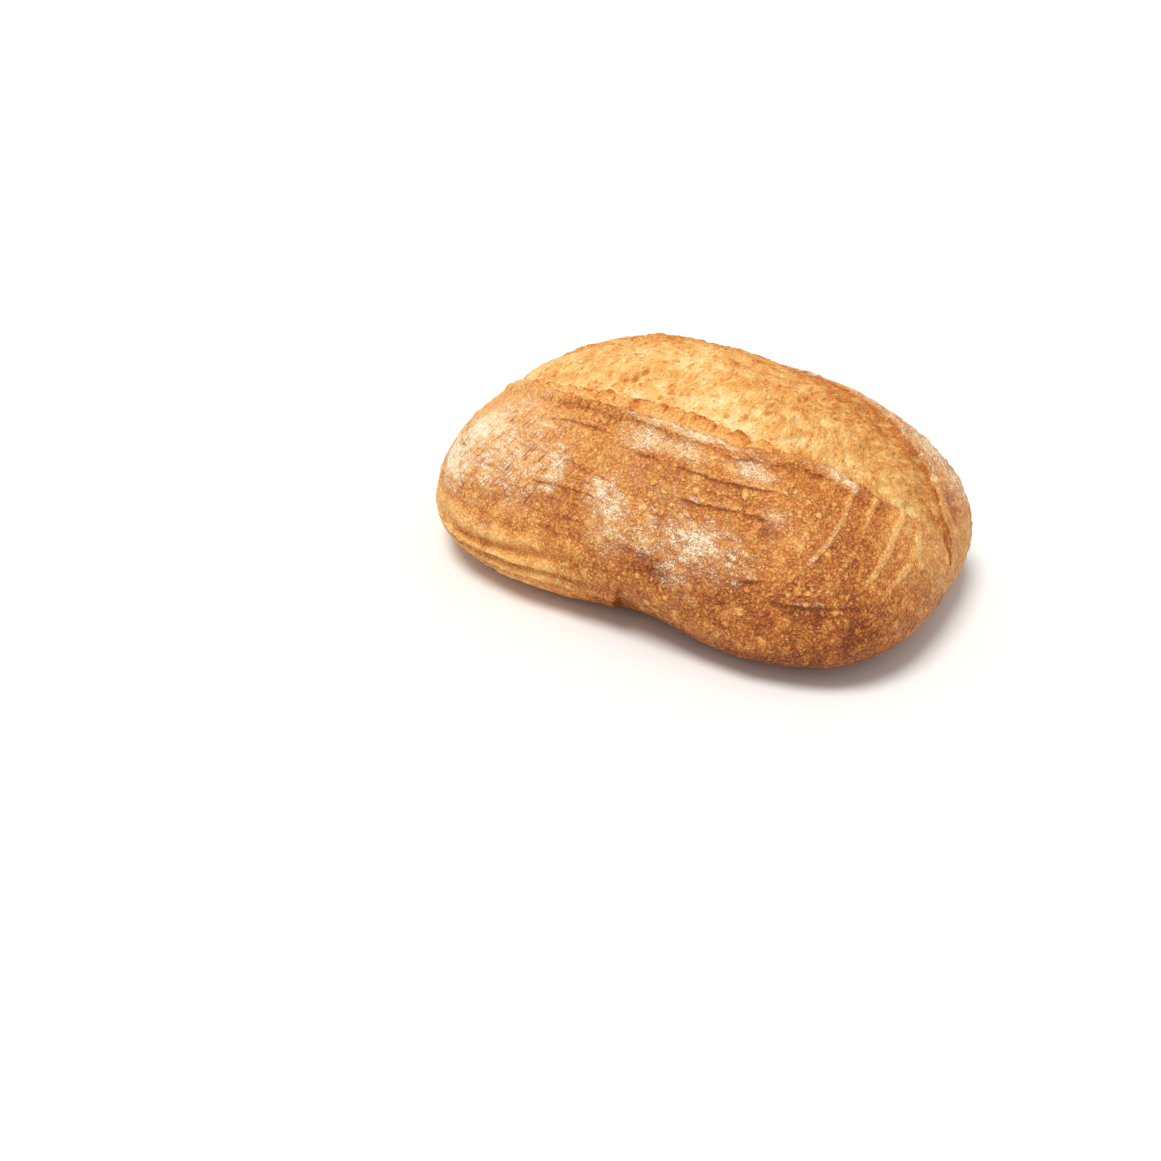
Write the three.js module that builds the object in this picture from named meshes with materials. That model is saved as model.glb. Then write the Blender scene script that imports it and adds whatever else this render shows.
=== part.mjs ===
import * as THREE from 'three';
import { mergeVertices } from 'three/addons/utils/BufferGeometryUtils.js';

// Sourdough loaf, baked as one piece and slashed once along its back before the oven.
// Millimetres, +Z up. The length runs along X, the slash is along the top, and the loaf
// stands on its flat base, whose middle is the origin.

// Driving dimensions
const halfLength = 125;
const halfWidth = 90;
const height = 104;

// Body
const body = {
  waistHeight: 0.225 * height, // where the loaf is widest
  baseShare: 0.68,             // flat base against the widest outline
  endSquareness: { left: 3.4, right: 3.65 }, // power of the rounded-box outline at each end
  domePower: 1.88,             // power of the dome's section, 2 is an ellipse
  taper: 0.02,                 // the right end is a little wider
  bend: 4.5,                   // both ends lean towards +Y by this much
  sag: -0.02,                  // the right end is a little lower
};

// Slash: a lens along the back, which the crumb has burst through
const slash = {
  halfWidth: 43,
  reach: { left: 105, right: 118 },
  pointedness: 2.4,
  flatter: { depth: 4.5, reach: 28 },           // the near lip runs straighter past the middle
  narrower: { depth: 4, from: 58, full: 80 },   // and cuts in towards the right end
  crumbRise: 0.4,     // the crumb's crown above the plain body
  valleyDepth: 3.4,   // the seam where crumb meets crust
  valleyWidth: 7,
  lipRise: 1.6,       // the torn edge of the crust
  lipWidth: 7,
  settle: { near: 3, far: 0.4 },  // how far the crust outside each lip has sunk
  settleReach: 26,
  fadeOut: 36,        // the relief dies away where the slash is narrower than this
  lowest: 0.3 * height, // and below this height, fading in over the next fadeIn
  fadeIn: 0.2 * height,
};

// Fold in the lower edge of the -Y side, where the shaped dough was tucked under
const fold = { x: 12, z: 4, depth: 11, halfLength: 31, halfHeight: 20 };

// Facets along each side of the box that is blown up into the loaf
const facets = { length: 44, width: 30, height: 14 };

const crustColor = new THREE.Color().setRGB(0.78, 0.53, 0.31, THREE.SRGBColorSpace);
const quarter = Math.PI / 4;
const bell = (t) => Math.exp(-t * t);

// Radius of a superellipse of the given power at an angle, 1 on its axes.
function roundedRadius(angle, power) {
  const c = Math.abs(Math.cos(angle)) ** power;
  const s = Math.abs(Math.sin(angle)) ** power;
  return (c + s) ** (-1 / power);
}

// The outline's reach along X and Y, from 0 to 1, in a direction seen from above.
function outline(angle) {
  const { left, right } = body.endSquareness;
  const power = (left + right) / 2 + ((right - left) / 2) * Math.cos(angle);
  const reach = roundedRadius(angle, power);
  return { x: reach * Math.cos(angle), y: reach * Math.sin(angle) };
}

// Share of the outline and height of a point, from where it lies on a box of half-size 1:
// above the middle a dome, below it a quarter-round edge, and underneath the flat base.
function ringAt(box) {
  const along = Math.tan(box.x * quarter);
  const across = Math.tan(box.y * quarter);
  if (box.z >= 0) {
    const rise = Math.atan2(Math.tan(box.z * quarter), Math.hypot(along, across));
    const reach = roundedRadius(rise, body.domePower);
    const dome = height - body.waistHeight;
    return { share: reach * Math.cos(rise), z: body.waistHeight + dome * reach * Math.sin(rise) };
  }
  if (box.z > -1) {
    const turn = (-box.z * Math.PI) / 2;
    const share = body.baseShare + (1 - body.baseShare) * Math.cos(turn);
    return { share, z: body.waistHeight * (1 - Math.sin(turn)) };
  }
  return { share: body.baseShare * Math.max(Math.abs(box.x), Math.abs(box.y)), z: 0 };
}

// A point of the plain body, before the slash and the fold.
function bodyPoint(box) {
  const angle = Math.atan2(Math.tan(box.y * quarter), Math.tan(box.x * quarter));
  const plan = outline(angle);
  const ring = ringAt(box);
  const u = plan.x * ring.share;
  const v = plan.y * ring.share;
  return new THREE.Vector3(
    halfLength * u,
    halfWidth * v * (1 + body.taper * u) + body.bend * u * u,
    ring.z * (1 + body.sag * u),
  );
}

// Half the width of the opened slash at a place along the loaf, on its near or far side.
function slashHalfWidth(x, near) {
  const reach = x < 0 ? slash.reach.left : slash.reach.right;
  const run = Math.min(1, Math.abs(x) / reach);
  const half = slash.halfWidth * Math.sqrt(1 - run ** slash.pointedness);
  if (!near) return half;
  const { flatter, narrower } = slash;
  const cutIn = flatter.depth * bell(x / flatter.reach)
    + narrower.depth * THREE.MathUtils.smoothstep(x, narrower.from, narrower.full);
  return Math.max(half - cutIn, 0);
}

// How far the slash's relief stands out of the plain body at a point.
function relief(point) {
  const middle = body.bend * (point.x / halfLength) ** 2;
  const near = point.y < middle;
  const half = slashHalfWidth(point.x, near);
  const out = Math.abs(point.y - middle) - half; // from the lip, negative on the crumb
  const settle = near ? slash.settle.near : slash.settle.far;
  let amount = -slash.valleyDepth * bell((out + slash.valleyWidth) / slash.valleyWidth);
  amount += slash.lipRise * bell((out - slash.lipWidth / 2) / slash.lipWidth);
  if (out < 0) amount += slash.crumbRise * (1 - (1 + out / Math.max(half, 1)) ** 2);
  else amount -= settle * bell(out / slash.settleReach) * Math.min(1, out / slash.lipWidth);
  amount *= Math.min(1, half / slash.fadeOut) ** 2;
  return amount * THREE.MathUtils.smoothstep(point.z, slash.lowest, slash.lowest + slash.fadeIn);
}

// How far the fold draws a point of the -Y side inwards.
function foldDepth(point) {
  if (point.y > 0) return 0;
  const along = (point.x - fold.x) / fold.halfLength;
  const up = (point.z - fold.z) / fold.halfHeight;
  const rim = body.baseShare * halfWidth;
  const inside = Math.min(1, Math.abs(point.y) / rim) ** 2; // the middle of the base stays
  return fold.depth * bell(along) * bell(up) * inside;
}

// Outward direction of the ellipsoid that the body follows.
function outward(point) {
  const rise = point.z - body.waistHeight;
  const half = rise > 0 ? height - body.waistHeight : body.waistHeight;
  return new THREE.Vector3(
    point.x / halfLength ** 2,
    point.y / halfWidth ** 2,
    rise / half ** 2,
  ).normalize();
}

function makeLoafGeometry() {
  const box = new THREE.BoxGeometry(2, 2, 2, facets.length, facets.width, facets.height);
  box.deleteAttribute('uv');
  box.deleteAttribute('normal');
  const geometry = mergeVertices(box);
  const position = geometry.getAttribute('position');
  const corner = new THREE.Vector3();
  for (let i = 0; i < position.count; i += 1) {
    corner.fromBufferAttribute(position, i);
    const point = bodyPoint(corner);
    const inwards = foldDepth(point);
    point.addScaledVector(outward(point), relief(point));
    position.setXYZ(i, point.x, point.y + inwards, point.z);
  }
  // The origin is under the middle of the loaf's own box.
  geometry.computeBoundingBox();
  const { min, max } = geometry.boundingBox;
  geometry.translate(-(min.x + max.x) / 2, -(min.y + max.y) / 2, -min.z);
  geometry.computeVertexNormals();
  return geometry;
}

const loaf = new THREE.Mesh(
  makeLoafGeometry(),
  new THREE.MeshStandardMaterial({ color: crustColor, roughness: 0.75, metalness: 0 }),
);
loaf.name = 'loaf';

const model = new THREE.Group();
model.add(loaf);

export default model;
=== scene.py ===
import math
import bpy
import numpy as np
from mathutils import Matrix, Vector


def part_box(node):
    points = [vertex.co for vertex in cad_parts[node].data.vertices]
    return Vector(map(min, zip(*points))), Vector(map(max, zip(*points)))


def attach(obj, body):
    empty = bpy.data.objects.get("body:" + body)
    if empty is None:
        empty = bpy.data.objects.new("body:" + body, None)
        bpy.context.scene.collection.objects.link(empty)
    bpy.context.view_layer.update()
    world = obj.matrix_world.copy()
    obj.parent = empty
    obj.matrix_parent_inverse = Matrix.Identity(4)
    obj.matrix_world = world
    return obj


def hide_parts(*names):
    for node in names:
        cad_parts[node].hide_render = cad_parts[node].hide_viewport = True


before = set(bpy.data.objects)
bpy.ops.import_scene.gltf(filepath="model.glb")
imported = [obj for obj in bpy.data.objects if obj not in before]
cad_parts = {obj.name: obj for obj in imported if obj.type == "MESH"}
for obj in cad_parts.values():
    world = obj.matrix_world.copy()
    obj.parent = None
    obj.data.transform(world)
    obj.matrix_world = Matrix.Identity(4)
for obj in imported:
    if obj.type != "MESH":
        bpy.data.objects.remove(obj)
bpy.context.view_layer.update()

loafLow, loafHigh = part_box("loaf")
loafLength = 250  # millimetres
mm = (loafHigh[0] - loafLow[0]) / loafLength  # one millimetre in the frame's metres
loafMiddle = ((loafLow[0] + loafHigh[0]) / 2, (loafLow[1] + loafHigh[1]) / 2)
print("frame loaded, loaf", [round((loafHigh[i] - loafLow[i]) / mm, 1) for i in range(3)], "mm")

# The loaf is worked out in millimetres and made in metres. Two directions are used all through:
# "along" runs along the slash, and "around" is the angle round the section in degrees,
# 0 on the crest, 90 at the widest line of the near side (-Y) and -90 on the far side.
# The whole number after a pattern's size is its seed.


def randomAt(cell, seed):
    # one number from 0 to 1 for each whole-numbered cell, from its own bits well stirred
    n = (cell[..., 0] * 73856093) ^ (cell[..., 1] * 19349663) ^ (cell[..., 2] * 83492791)
    n = (n ^ (seed * 40503)) & 0xFFFFFFFF
    n = ((n ^ (n >> 15)) * 2246822519) & 0xFFFFFFFF
    n = ((n ^ (n >> 13)) * 3266489917) & 0xFFFFFFFF
    return (n ^ (n >> 16)) / 0xFFFFFFFF


def softNoise(points, size, seed, octaves=1, gain=0.5):
    # random values at the corners of a grid, blended smoothly between them; each further
    # octave is half as large and weaker by gain, and the sum is stretched to about -1 to 1
    stretch = 1.6
    apart = 17.3  # shifts each octave's grid away from the last
    total = 0.0
    strength = 1.0
    whole = 0.0
    for octave in range(octaves):
        q = points * (2.0 ** octave / np.asarray(size)) + apart * (octave + 1)
        cell = np.floor(q).astype(np.int64)
        f = q - cell
        f = f * f * f * (f * (f * 6 - 15) + 10)
        value = 0.0
        for corner in np.ndindex(2, 2, 2):
            step = np.array(corner)
            weight = np.prod(np.where(step == 1, f, 1 - f), axis=-1)
            value = value + weight * randomAt(cell + step, seed + octave)
        total = total + strength * (value * 2 - 1)
        whole += strength
        strength *= gain
    return total / whole * stretch


def scattered(points, size, seed):
    # one seed point in each cell of a grid; gives the distance to the nearest, in cells,
    # and a steady random number that belongs to it
    q = points / np.asarray(size)
    home = np.floor(q).astype(np.int64)
    nearest = np.full(q.shape[:-1], 9.0)
    mark = np.zeros(q.shape[:-1])
    for corner in np.ndindex(3, 3, 3):
        cell = home + np.array(corner) - 1
        spot = np.stack([randomAt(cell, seed + k) for k in range(3)], axis=-1)
        distance = np.sqrt(((cell + spot - q) ** 2).sum(axis=-1))
        closer = distance < nearest
        nearest = np.where(closer, distance, nearest)
        mark = np.where(closer, randomAt(cell, seed + 3), mark)
    return nearest, mark


def ease(low, high, value):
    # 0 below low and 1 above high, with a smooth S between
    t = np.clip((value - low) / (high - low), 0, 1)
    return t * t * (3 - 2 * t)


def bell(t):
    # 1 where t is 0, falling smoothly on both sides, about a third at 1 and next to nothing at 2
    return np.exp(-t * t)


skinRadius = 92  # millimetres from the section's middle to the skin, near enough
acrossPerDegree = math.radians(1) * skinRadius


# Where each patch lies on the colour sheet: left, bottom, width and height, in parts of its size
sheetSize = 400
sheets = {
    "near": (4, 4, 218, 114),
    "right": (228, 4, 166, 114),
    "far": (4, 124, 218, 114),
    "left": (228, 124, 166, 114),
    "top": (4, 244, 200, 150),
    "base": (210, 244, 184, 150),
}
baseSpread = 0.72  # share of the loaf's own box that the base's patch takes in, just over the base


def cornerPlaces(s, t, ds, dt, sheet):
    # the four corners of each cell whose low corner is at (s, t) on its patch
    left, bottom, width, height = sheet
    s = np.stack([s, s + ds, s + ds, s], axis=-1).reshape(-1, 4)
    t = np.stack([t, t, t + dt, t + dt], axis=-1).reshape(-1, 4)
    return np.stack([(left + s * width) / sheetSize, (bottom + t * height) / sheetSize], axis=-1)


grid = {
    "length": 196,     # cells along the top
    "width": 140,      # cells across the top
    "wallRows": 60,    # rows from the top's edge down to the widest line
    "edgeRows": 38,    # rows from there down to the base
    "baseRings": 6,    # rings in the base, each with half the points of the last
    "baseFirst": 0.96,  # size of the first and last of them, against the base's rim
    "baseLast": 0.12,
}


def makeGrid():
    # The top is a grid of points, its rim runs down as a wall of rings, and the base closes
    # with rings that thin out. Gives each point's place on a box of half-size 1 (u, v, w),
    # w below -1 counting inwards on the base, the faces, and each face corner's place on the
    # flat colour sheet.
    nx, ny = grid["length"], grid["width"]
    i, j = np.meshgrid(np.arange(nx + 1), np.arange(ny + 1), indexing="ij")
    topIndex = i * (ny + 1) + j
    u = 2 * i / nx - 1
    v = 2 * j / ny - 1
    points = [np.stack([u, v, np.ones_like(u)], axis=-1).reshape(-1, 3)]
    rim = np.concatenate([topIndex[:-1, 0], topIndex[-1, :-1], topIndex[:0:-1, -1], topIndex[0, :0:-1]])
    rimPlace = points[0][rim][:, :2]
    count = len(rim)
    rows = grid["wallRows"] + grid["edgeRows"]
    level = np.concatenate([
        np.linspace(1, 0, grid["wallRows"], endpoint=False),
        np.linspace(0, -1, grid["edgeRows"] + 1),
    ])
    rings = [rim]
    total = len(points[0])
    for w in level[1:]:
        points.append(np.column_stack([rimPlace, np.full(count, w)]))
        rings.append(total + np.arange(count))
        total += count

    faces = []
    corners = []
    a, b, c, d = topIndex[:-1, :-1], topIndex[1:, :-1], topIndex[1:, 1:], topIndex[:-1, 1:]
    faces.append(np.stack([a, b, c, d], axis=-1).reshape(-1, 4))
    sheet = sheets["top"]
    corners.append(cornerPlaces(i[:-1, :-1] / nx, j[:-1, :-1] / ny, 1 / nx, 1 / ny, sheet))
    walls = [("near", 0, nx), ("right", nx, ny), ("far", nx + ny, nx), ("left", 2 * nx + ny, ny)]
    ring = np.array(rings)
    for name, start, span in walls:
        p, r = np.meshgrid(np.arange(span), np.arange(rows), indexing="ij")
        here = (start + p) % count
        there = (start + p + 1) % count
        faces.append(np.stack([ring[r + 1, here], ring[r + 1, there], ring[r, there], ring[r, here]],
                              axis=-1).reshape(-1, 4))
        corners.append(cornerPlaces(p / span, 1 - (r + 1) / rows, 1 / span, 1 / rows, sheets[name]))

    # the base: one ring with every point, then rings that each have half as many
    triangles = []
    outer = rings[-1]
    outerPick = np.arange(count)
    shares = np.linspace(grid["baseFirst"], grid["baseLast"], grid["baseRings"])
    for k, share in enumerate(shares):
        innerPick = outerPick if k == 0 else outerPick[::2]
        points.append(np.column_stack([rimPlace[innerPick], np.full(len(innerPick), -2 + share)]))
        inner = total + np.arange(len(innerPick))
        total += len(inner)
        outerNext = np.roll(outer, -1)
        innerNext = np.roll(inner, -1)
        if k == 0:
            triangles += [np.stack([outer, inner, outerNext], axis=-1)]
            triangles += [np.stack([outerNext, inner, innerNext], axis=-1)]
        else:
            middle = outer[1::2]
            triangles += [np.stack([outer[::2], inner, middle], axis=-1)]
            triangles += [np.stack([middle, inner, innerNext], axis=-1)]
            triangles += [np.stack([middle, innerNext, np.roll(outer[::2], -1)], axis=-1)]
        outer = inner
        outerPick = innerPick
    points.append(np.array([[0.0, 0.0, -2.0]]))
    triangles.append(np.stack([outer, np.full(len(outer), total), np.roll(outer, -1)], axis=-1))
    quads = np.concatenate(faces)
    return np.concatenate(points), quads, np.concatenate(triangles), np.concatenate(corners)


body = {
    "halfLength": loafLength / 2,
    "halfWidth": 90,
    "height": 104,
    "waist": 0.225,          # height of the widest line, against the loaf's height
    "baseShare": 0.68,       # the flat base against the widest outline
    "squareLeft": 3.4,       # how square the outline is at each end, 2 is an ellipse
    "squareRight": 3.65,
    "domePower": 1.88,       # how full the section is, 2 is an ellipse
    "taper": 0.02,           # the right end is a little wider
    "bend": 4.5,             # both ends lean away by this much
    "sag": -0.02,            # the right end is a little lower
    "edgeAngle": 54,         # how far below the widest line "around" counts at the base's rim
}


def roundedRadius(angle, power):
    # radius of a superellipse of that power in a direction, 1 on its axes
    return (np.abs(np.cos(angle)) ** power + np.abs(np.sin(angle)) ** power) ** (-1 / power)


def plainBody(place):
    # Above the widest line: a dome whose outline and section are superellipses.
    # Below it: a quarter-round edge down to the flat base.
    tu = np.tan(place[:, 0] * math.pi / 4)
    tv = np.tan(place[:, 1] * math.pi / 4)
    w = place[:, 2]
    turn = np.arctan2(tv, tu)
    power = (body["squareLeft"] + body["squareRight"]) / 2
    power = power + (body["squareRight"] - body["squareLeft"]) / 2 * np.cos(turn)
    outline = roundedRadius(turn, power)
    rise = np.arctan2(np.tan(np.clip(w, 0, 1) * math.pi / 4), np.hypot(tu, tv))
    reach = roundedRadius(rise, body["domePower"])
    waist = body["waist"] * body["height"]
    edge = np.clip(-w, 0, 1) * math.pi / 2
    lowShare = body["baseShare"] + (1 - body["baseShare"]) * np.cos(edge)
    lowShare = lowShare * np.where(w < -1, np.clip(w + 2, 0, 1), 1)
    share = np.where(w >= 0, reach * np.cos(rise), lowShare)
    z = np.where(w >= 0, waist + (body["height"] - waist) * reach * np.sin(rise),
                 waist * (1 - np.sin(edge)))
    ex = outline * np.cos(turn) * share
    ey = outline * np.sin(turn) * share
    x = body["halfLength"] * ex
    y = body["halfWidth"] * ey * (1 + body["taper"] * ex) + body["bend"] * ex ** 2
    z = z * (1 + body["sag"] * ex)
    # the direction from the middle of the base, and from it the two directions over the skin
    lift = np.where(w >= 0, rise, w * math.radians(body["edgeAngle"]))
    dx, dy, dz = np.cos(turn) * np.cos(lift), np.sin(turn) * np.cos(lift), np.sin(lift)
    around = np.degrees(np.arctan2(-dy, dz))
    along = (math.pi / 2 - np.arccos(np.clip(dx, -1, 1))) * body["halfLength"]
    return np.stack([x, y, z], axis=-1), around, along


def pointNormals(points, quads, triangles):
    # each point's normal is the sum of its faces' normals, larger faces counting more
    normal = np.zeros_like(points)
    a, b, c, d = (points[quads[:, k]] for k in range(4))
    quadNormal = np.cross(c - a, d - b)
    a, b, c = (points[triangles[:, k]] for k in range(3))
    triangleNormal = np.cross(b - a, c - a)
    for axis in range(3):
        for faces, vectors in ((quads, quadNormal), (triangles, triangleNormal)):
            for corner in range(faces.shape[1]):
                normal[:, axis] += np.bincount(faces[:, corner], vectors[:, axis], len(points))
    return normal / (np.linalg.norm(normal, axis=-1, keepdims=True) + 1e-12)


slash = {
    "halfWidth": 43,
    "reachLeft": 105,
    "reachRight": 119,
    "pointedness": 2.4,
    "flatter": 4.5,            # the near lip runs this much straighter past the middle
    "flatterReach": 28,
    "narrower": 4.0,           # and cuts in by this much between these places along
    "narrowerOver": (58, 80),
    "fadesOver": (0.3, 0.5),   # it fades in between these shares of the loaf's height
    "fullFrom": 24,            # and has its full depth where it is at least this wide to one side
    "ragged": 1.1,             # how far the torn lip wanders
    "valley": 2.8,             # depth of the seam where crumb meets crust
    "valleyWidth": 6,
    "ridge": 1.1,              # height of the floury ridge outside the torn strip
    "ridgeWidth": 3.4,
    "settleNear": 3.0,         # the near crust has sunk by this much next to the lip
    "settleFar": 0.4,
    "settleReach": 26,
    "creaseDepth": 1.0,        # and a crease runs along the foot of the ridge
    "creaseReach": 6,
}

# a narrow tail of crumb that runs on from the slash's right tip, down the end
tail = {
    "from": 100,        # place along the loaf
    "halfWidth": 4.5,
    "aside": 4,         # how far it lies to the far side
    "sway": 2,          # and how far it swings, as a sine of its height over "swing"
    "swing": 6,
    "foot": 28,         # it narrows to nothing between these heights
    "top": 50,
}


def openSlash(points, along):
    # The lip is an ellipse of the power "pointedness", seen from above.
    # "out" is the distance outside it, below 0 on the crumb.
    x = points[:, 0]
    z = points[:, 2]
    middle = body["bend"] * (x / body["halfLength"]) ** 2
    side = points[:, 1] - middle
    near = side < 0
    reach = np.where(x < 0, slash["reachLeft"], slash["reachRight"])
    run = np.clip(np.abs(x) / reach, 0, 1)
    half = slash["halfWidth"] * np.sqrt(1 - run ** slash["pointedness"])
    cutIn = slash["flatter"] * bell(x / slash["flatterReach"])
    cutIn = cutIn + slash["narrower"] * ease(*slash["narrowerOver"], x)
    half = np.maximum(half - np.where(near, cutIn, 0), 0)
    lane = np.stack([along, np.where(near, 0.0, 60.0), np.zeros_like(along)], axis=-1)
    wander = slash["ragged"] * (softNoise(lane, 16, 11, 2) + 0.6 * softNoise(lane, 4, 12, 2))
    upper = ease(*slash["fadesOver"], z / body["height"])
    out = np.abs(side) - half - wander * np.clip(half / 20, 0, 1)
    # past its tips and low on the ends the slash is pushed out of reach
    out = out + 8 * ease(0.93, 1.0, run) + 10 * (1 - upper)
    tailMiddle = tail["aside"] + tail["sway"] * np.sin(z / tail["swing"])
    tailOut = np.abs(side - tailMiddle) - tail["halfWidth"] * ease(tail["foot"], tail["top"], z)
    tailOut = tailOut + wander + 5 * ease(tail["foot"] + 6, tail["foot"] - 2, z)
    out = np.where(x > tail["from"], np.minimum(out, tailOut), out)
    strength = np.clip(half / slash["fullFrom"], 0, 1) * upper
    return out, side, half, strength, lane


strip = {
    "width": 4.6,         # the torn strip outside the near lip
    "wider": 3.4,         # and how much wider it is about its middle
    "middle": 2,
    "widerReach": 32,
    "startsOver": (-84, -66),
    "endsOver": (58, 44),
    "lobeLength": 9.5,    # it ends in lobes that lie over the crumb
    "lobeReach": 2.1,
    "lobeHeight": 0.7,
    "lobeShift": 7.0,     # how far the lobes are out of step
    "seamDepth": 0.5,     # the notch between two lobes
    "seamWidth": 0.8,
    "rough": 0.9,
    "flakes": 0.8,
}


def tornStrip(out, side, along, lane):
    # The strip between crumb and near crust. Its inner edge is a row of lobes, each an arc of
    # its own size, and it climbs to that edge and drops to the crumb. Gives how far inside the
    # strip each point is, its height, how far outside the strip it is, and how browned.
    t = (along + strip["lobeShift"] * softNoise(lane, 15, 25, 2)) / strip["lobeLength"]
    lobe = np.floor(t)
    share = t - lobe
    cell = np.stack([lobe, np.zeros_like(lobe), np.zeros_like(lobe)], axis=-1).astype(np.int64)
    size = 0.1 + 1.1 * randomAt(cell, 26) ** 1.5
    arc = np.clip(1 - np.abs(2 * share - 1) ** 2.6, 0, 1) * size
    rough = strip["rough"] * softNoise(lane, 3.2, 27, 2)
    edge = -strip["lobeReach"] * arc + rough
    width = strip["width"] + strip["wider"] * bell((along - strip["middle"]) / strip["widerReach"])
    lasts = np.where(side < 0, ease(*strip["startsOver"], along) * ease(*strip["endsOver"], along), 0)
    climb = np.clip((width - out) / (width - edge), 0, 1)
    inside = np.minimum(out - edge, width - out + rough) - 8 * (1 - lasts)
    toSeam = (0.5 - np.abs(share - 0.5)) * strip["lobeLength"]
    seam = bell(toSeam / strip["seamWidth"]) * climb
    height = strip["lobeHeight"] * arc * climb ** 1.6 - strip["seamDepth"] * seam
    browned = np.maximum(0.75 * climb ** 3 * arc, 0.6 * seam)
    return inside, height * ease(-0.4, 0.5, inside), out - width, browned


def slashRelief(out, beyond, side, strength, along, lane):
    # a seam inside the lip, a floury ridge outside it that drops to a crease, and the crust
    # beyond settling back to the plain loaf; each a bell of the distance from its own line
    near = side < 0
    deep = np.where(near, 1.0, 0.75) * (0.8 + 0.4 * softNoise(lane, 22, 21, 2))
    relief = -slash["valley"] * deep * bell((out + slash["valleyWidth"]) / slash["valleyWidth"])
    tall = np.where(near, 1.0, 0.7) * (0.8 + 0.4 * softNoise(lane, 9, 22, 2))
    outside = np.maximum(beyond - 0.8, 0)
    relief += slash["ridge"] * tall * ease(-4.0, 0.0, beyond) * bell(outside / slash["ridgeWidth"])
    settle = np.where(near, slash["settleNear"] * ease(125, 85, along), slash["settleFar"])
    relief -= settle * bell(beyond / slash["settleReach"]) * ease(-2, 7, beyond)
    line = beyond - slash["ridgeWidth"] - 1.2 * softNoise(lane, 14, 24, 3)
    # the crease comes and goes, strongest under the middle of the near lip
    stretch = np.maximum(bell((along - 4) / 50), 0.8 * bell((along - 68) / 18))
    crease = np.where(near, stretch, 0.2) * np.clip(0.8 + 0.9 * softNoise(lane, 10, 23, 2), 0, 1.2)
    drop = ease(-0.8, 0.6, line) * bell(np.maximum(line, 0) / slash["creaseReach"])
    relief -= slash["creaseDepth"] * crease * drop
    return relief * strength, line, crease * strength


# Each pattern of the crumb: its size along, across and down, then its height in millimetres.
# For the last three, the share of their cells that stay whole comes third.
crumb = {
    "slant": 0.25,                          # strands are shifted by this much of their place along
    "sway": 2.4,                            # and swayed by this many millimetres
    "pillows": ((11, 14, 1), 1.3),
    "strands": ((3.4, 9, 1), 0.55),
    "fine": ((2.2, 4.5, 1), 0.3),
    "pits": ((8.5, 12, 9), 1.5, 0.55),
    "smallPits": ((3.6, 5, 4), 0.7, 0.72),
    "bowls": ((9, 14, 9), 1.1, 0.6),
    "bowlsByLip": (1.1, 0.4),               # how much deeper they are there, and how many more
    "lipBand": (11, 8, 34, 38),             # its middle and reach, inwards and along
}


def crumbRelief(along, across, lipBand):
    # torn crumb: short strands pulled across the slash over soft pillows, sharp pits, and
    # shallow oval hollows left by larger bubbles, more and deeper in a band beside the near lip
    flat = np.zeros_like(along)
    cloth = np.stack([along, across + crumb["slant"] * along, flat], axis=-1)
    sway = crumb["sway"] * softNoise(cloth, (14, 14, 1), 36, 2)
    cloth = cloth + np.stack([sway, flat, flat], axis=-1)
    size, height = crumb["pillows"]
    relief = height * softNoise(cloth, size, 31, 3)
    size, height = crumb["strands"]
    strands = 1 - 2 * np.abs(softNoise(cloth, size, 32, 2))
    relief += height * strands
    size, height = crumb["fine"]
    relief += height * softNoise(cloth, size, 33, 2)
    size, depth, whole = crumb["pits"]
    gap, mark = scattered(cloth, size, 34)
    shadedPit = np.where(mark > whole, ease(0.26, 0.12, gap), 0)
    relief -= depth * shadedPit
    size, depth, whole = crumb["smallPits"]
    gap, mark = scattered(cloth, size, 35)
    smallPit = np.where(mark > whole, ease(0.42, 0.2, gap), 0)
    relief -= depth * smallPit
    size, depth, whole = crumb["bowls"]
    deeper, more = crumb["bowlsByLip"]
    gap, mark = scattered(cloth, size, 37)
    bowl = np.where(mark > whole - more * lipBand, ease(0.4, 0.22, gap), 0)
    relief -= (depth + deeper * lipBand) * bowl
    # the pits' mask also gives where the crumb is painted with shade
    return relief, np.clip(shadedPit + smallPit * 0.7, 0, 1), bowl, strands


# ridges that the proofing basket's canes left round both ends, most of them on the right:
# place along the loaf, where it bulges furthest, how fast it curves away, last "around", height
rings = [
    (91.0, 40, 0.0150, 64, 0.75),
    (99.5, 45, 0.0100, 66, 0.85),
    (108.5, 48, 0.0060, 64, 0.8),
    (115.5, 50, 0.0040, 68, 0.75),
    (83.0, 38, 0.0120, 50, 0.3),
    (-104, 50, -0.0080, 78, 0.4),
    (-93, 50, -0.0100, 80, 0.3),
]
ringHalfWidth = 1.1
ringFarSide = 0.6  # how much of their height they keep on the far side


def ringRelief(x, around, side):
    # each ridge is a parabola over the skin, x = bulge - curve * (around - middle) squared,
    # with a bell for its section
    ridge = np.zeros_like(x)
    turn = np.abs(around)
    shake = np.stack([x, around, np.zeros_like(x)], axis=-1)
    wobble = 0.7 * softNoise(shake, 10, 41, 2)
    patchy = np.clip(0.8 + 0.6 * softNoise(shake, 8, 42, 2), 0.25, 1.1)
    for bulge, middle, curve, last, height in rings:
        line = bulge - curve * (turn - middle) ** 2
        reach = ease(last + 9, last - 8, turn) * ease(14, 22, turn)
        ridge = np.maximum(ridge, height * bell((x - line + wobble) / ringHalfWidth) * reach)
    return ridge * patchy * np.where(side < 0, 1, ringFarSide)


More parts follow.
